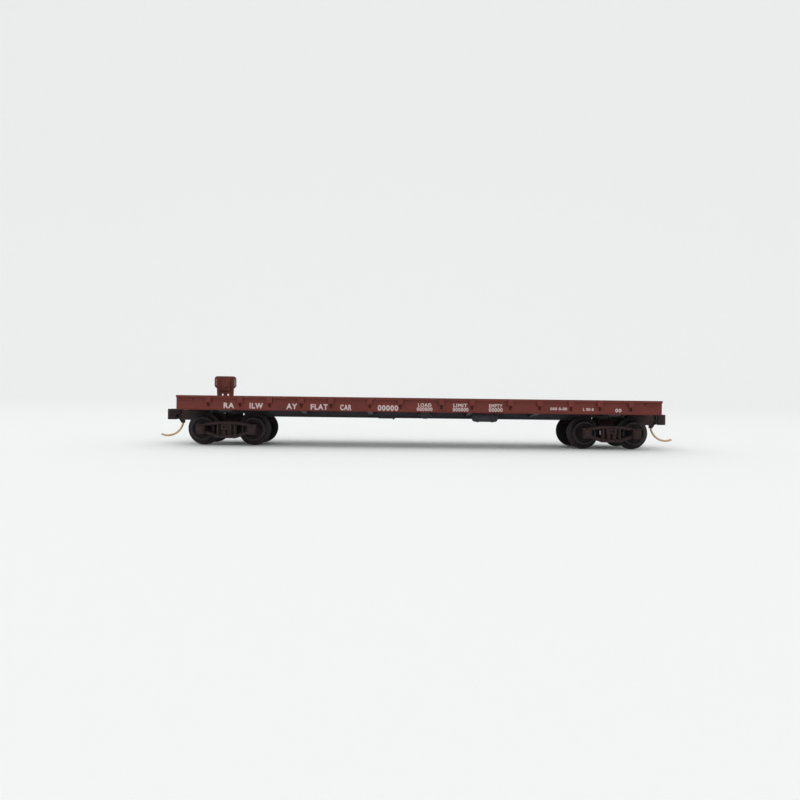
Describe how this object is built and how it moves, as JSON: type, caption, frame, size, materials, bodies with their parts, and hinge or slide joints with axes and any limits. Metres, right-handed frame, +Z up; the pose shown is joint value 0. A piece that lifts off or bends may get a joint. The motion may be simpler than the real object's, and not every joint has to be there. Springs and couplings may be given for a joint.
{
  "type": "model flat car",
  "caption": "Small-scale railway model flat car: boarded deck with stake pockets, side hand brake, swivelling trucks, rolling wheelsets and sprung knuckle couplers.",
  "frame": {"origin": "on the centre line, under the middle of the car, level with the lowest points of the wheel flanges", "axes": "+X along the car to its A end, +Z up, the hand brake at the B end (-X) on the +Y side"},
  "size_m": [0.1152, 0.0188, 0.0153],
  "materials": {
    "body_plastic": "moulded, satin",
    "underframe_plastic": "moulded, satin",
    "truck_plastic": "moulded, satin",
    "wheel_plastic": "moulded, slightly glossy",
    "coupler_plastic": "moulded, satin",
    "weight_steel": "rolled strip",
    "spring_bronze": "drawn wire",
    "trip_pin_brass": "drawn wire, slightly dull"
  },
  "bodies": {
    "car": {"deck_body": "body_plastic", "underframe": "underframe_plastic", "steel_weight": "weight_steel", "grab_irons": "body_plastic", "air_reservoir": "underframe_plastic", "brake_cylinder": "underframe_plastic", "control_valve": "underframe_plastic", "brake_rods": "underframe_plastic", "hand_brake_housing": "body_plastic", "a_kingpin": "truck_plastic", "b_kingpin": "truck_plastic"},
    "brake_wheel": {"brake_wheel": "body_plastic"},
    "truck_a": {"a_truck_frame": "truck_plastic", "a_coupler_box_lid": "truck_plastic"},
    "a_outer_wheelset": {"a_outer_axle": "wheel_plastic", "a_outer_wheel_left": "wheel_plastic", "a_outer_wheel_right": "wheel_plastic"},
    "a_inner_wheelset": {"a_inner_axle": "wheel_plastic", "a_inner_wheel_left": "wheel_plastic", "a_inner_wheel_right": "wheel_plastic"},
    "a_coupler": {"a_coupler_jaw": "coupler_plastic", "a_coupler_spring": "spring_bronze"},
    "a_knuckle": {"a_coupler_knuckle": "coupler_plastic", "a_trip_pin": "trip_pin_brass"},
    "truck_b": {"b_truck_frame": "truck_plastic", "b_coupler_box_lid": "truck_plastic"},
    "b_outer_wheelset": {"b_outer_axle": "wheel_plastic", "b_outer_wheel_left": "wheel_plastic", "b_outer_wheel_right": "wheel_plastic"},
    "b_inner_wheelset": {"b_inner_axle": "wheel_plastic", "b_inner_wheel_left": "wheel_plastic", "b_inner_wheel_right": "wheel_plastic"},
    "b_coupler": {"b_coupler_jaw": "coupler_plastic", "b_coupler_spring": "spring_bronze"},
    "b_knuckle": {"b_coupler_knuckle": "coupler_plastic", "b_trip_pin": "trip_pin_brass"}
  },
  "joints": [
    {"name": "brake_wheel_turn", "type": "hinge", "parent": "car", "child": "brake_wheel", "pos_m": [-0.0458, 0.0088, 0.0133], "axis": [0, 1, 0], "continuous": true},
    {"name": "a_truck_swivel", "type": "hinge", "parent": "car", "child": "truck_a", "pos_m": [0.0412, 0, 0.0067], "axis": [0, 0, 1], "range_deg": [-15, 15]},
    {"name": "a_outer_wheelset_roll", "type": "hinge", "parent": "truck_a", "child": "a_outer_wheelset", "pos_m": [0.0466, 0, 0.00355], "axis": [0, 1, 0], "continuous": true},
    {"name": "a_inner_wheelset_roll", "type": "hinge", "parent": "truck_a", "child": "a_inner_wheelset", "pos_m": [0.0358, 0, 0.00355], "axis": [0, 1, 0], "continuous": true},
    {"name": "a_coupler_swing", "type": "hinge", "parent": "truck_a", "child": "a_coupler", "pos_m": [0.0485, 0, 0.0064], "axis": [0, 0, 1], "range_deg": [-10, 10], "stiffness_Nm_per_rad": 0.0005},
    {"name": "a_knuckle_open", "type": "hinge", "parent": "a_coupler", "child": "a_knuckle", "pos_m": [0.0485, 0, 0.0064], "axis": [0, 0, -1], "range_deg": [0, 6], "stiffness_Nm_per_rad": 0.001},
    {"name": "b_truck_swivel", "type": "hinge", "parent": "car", "child": "truck_b", "pos_m": [-0.0412, 0, 0.0067], "axis": [0, 0, 1], "range_deg": [-15, 15]},
    {"name": "b_outer_wheelset_roll", "type": "hinge", "parent": "truck_b", "child": "b_outer_wheelset", "pos_m": [-0.0466, 0, 0.00355], "axis": [0, 1, 0], "continuous": true},
    {"name": "b_inner_wheelset_roll", "type": "hinge", "parent": "truck_b", "child": "b_inner_wheelset", "pos_m": [-0.0358, 0, 0.00355], "axis": [0, 1, 0], "continuous": true},
    {"name": "b_coupler_swing", "type": "hinge", "parent": "truck_b", "child": "b_coupler", "pos_m": [-0.0485, 0, 0.0064], "axis": [0, 0, 1], "range_deg": [-10, 10], "stiffness_Nm_per_rad": 0.0005},
    {"name": "b_knuckle_open", "type": "hinge", "parent": "b_coupler", "child": "b_knuckle", "pos_m": [-0.0485, 0, 0.0064], "axis": [0, 0, -1], "range_deg": [0, 6], "stiffness_Nm_per_rad": 0.001}
  ]
}
